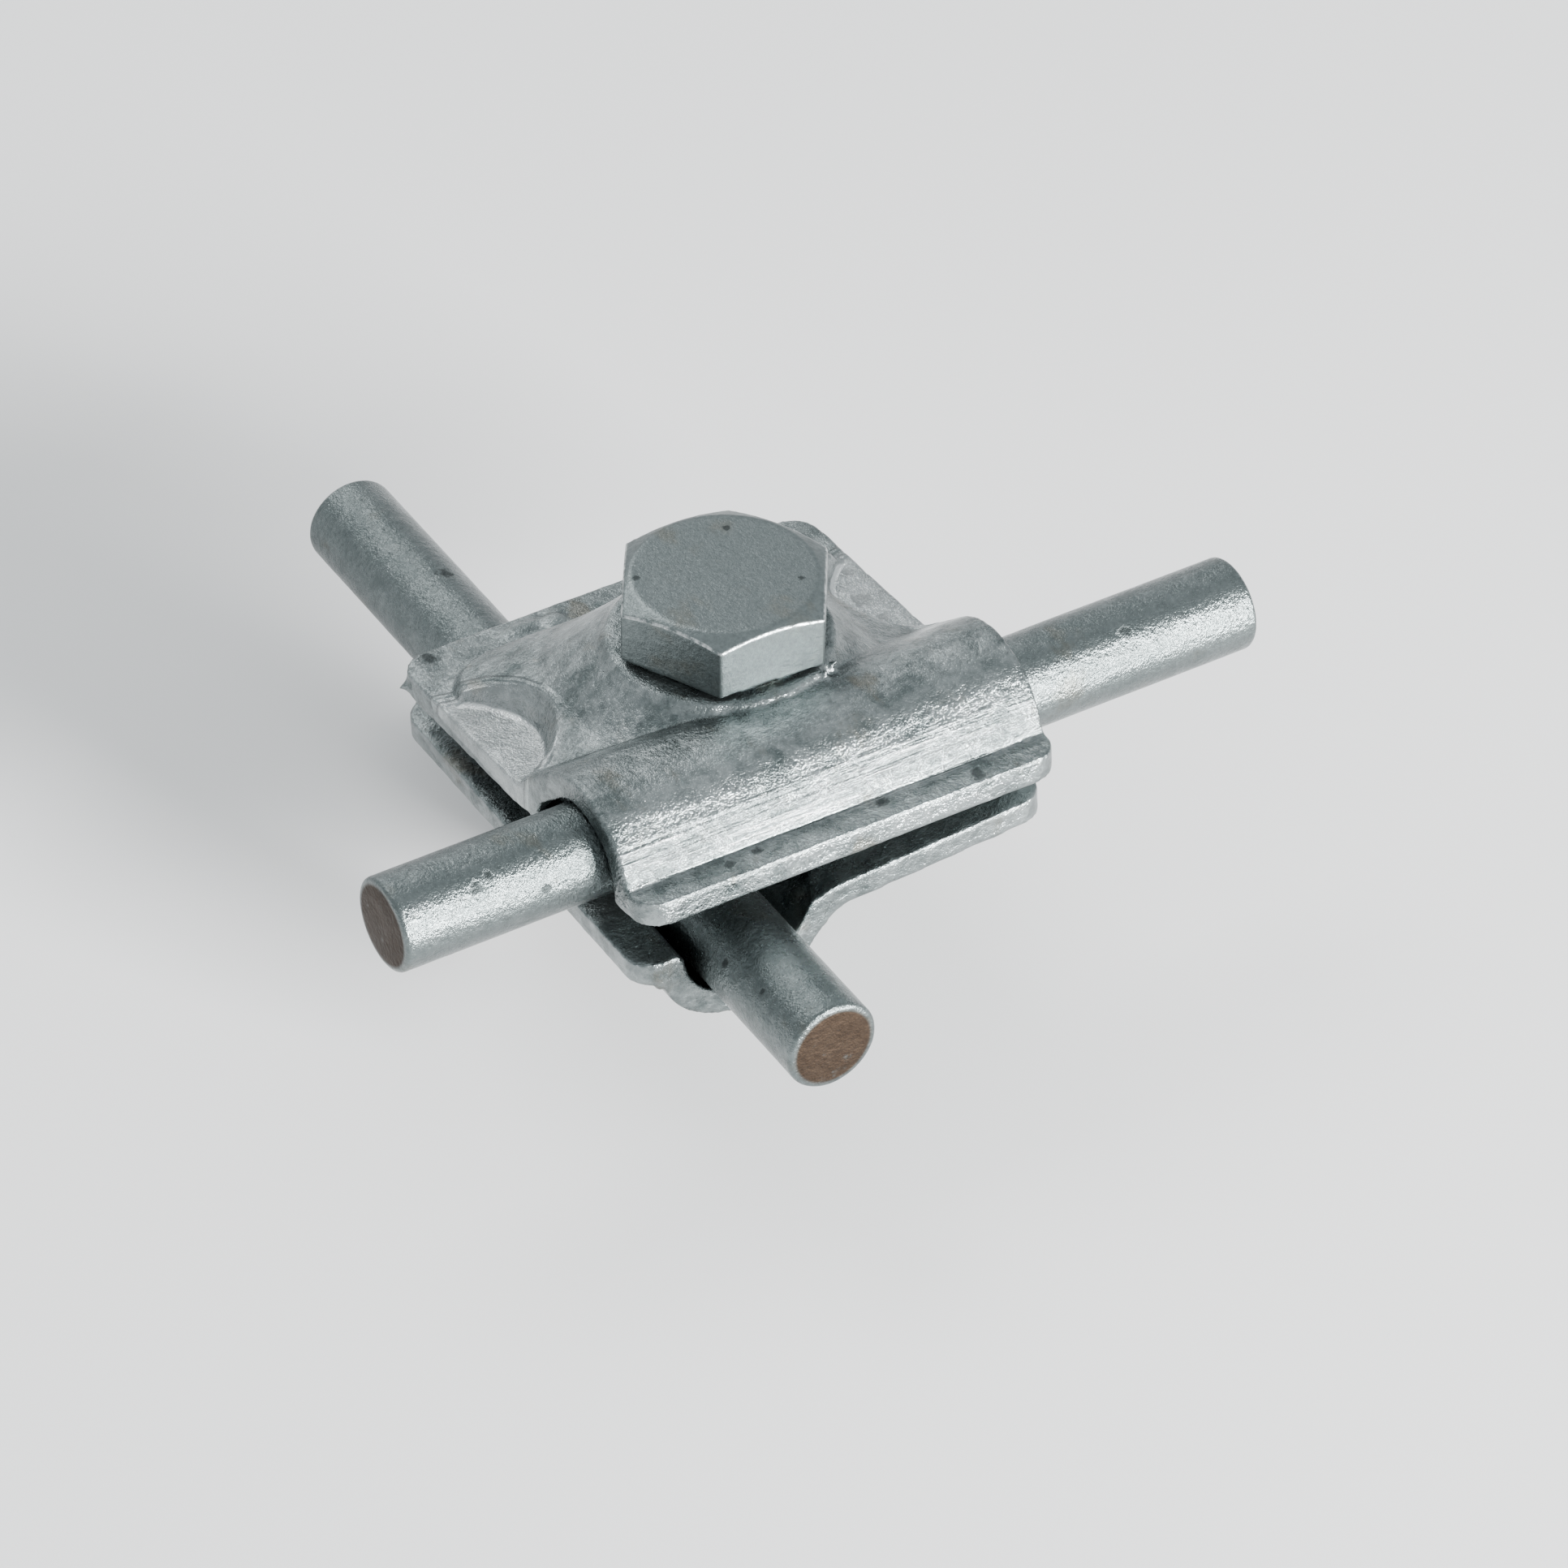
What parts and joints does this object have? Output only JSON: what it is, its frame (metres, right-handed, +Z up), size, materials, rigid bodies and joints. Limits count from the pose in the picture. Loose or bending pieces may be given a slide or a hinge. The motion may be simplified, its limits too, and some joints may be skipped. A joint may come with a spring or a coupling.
{
  "type": "cross clamp for round conductors",
  "caption": "Two pressed galvanised sheet plates clamping crossed round conductors with one central hexagon bolt.",
  "frame": {"origin": "on the bolt axis, at the height where the two crossing conductors touch", "axes": "+X along the upper conductor, +Y along the lower conductor, +Z up the bolt axis towards its head"},
  "size_m": [0.0797, 0.0784, 0.0358],
  "materials": {
    "galvanised_sheet": "hot-dip galvanised, spangled and slightly rough",
    "zinc_plated_bolt": "matt grey zinc",
    "galvanised_bar": "dull galvanised, cut ends bare and rust brown"
  },
  "bodies": {
    "lower_jaw": {"lower_plate": "galvanised_sheet", "upper_conductor": "galvanised_bar", "lower_conductor": "galvanised_bar"},
    "upper_jaw": {"upper_plate": "galvanised_sheet"},
    "bolt": {"clamp_bolt": "zinc_plated_bolt"}
  },
  "joints": [
    {"name": "plate_lift", "type": "slide", "parent": "lower_jaw", "child": "upper_jaw", "axis": [0, 0, 1], "range_m": [0, 0.0075]},
    {"name": "bolt_turn", "type": "hinge", "parent": "upper_jaw", "child": "bolt", "pos_m": [0, 0, 0], "axis": [0, 0, 1], "range_deg": [0, 1800]}
  ],
  "couplings": [
    {"joint": "bolt_turn", "follows": "plate_lift", "rad_per_m": 4188.8}
  ]
}
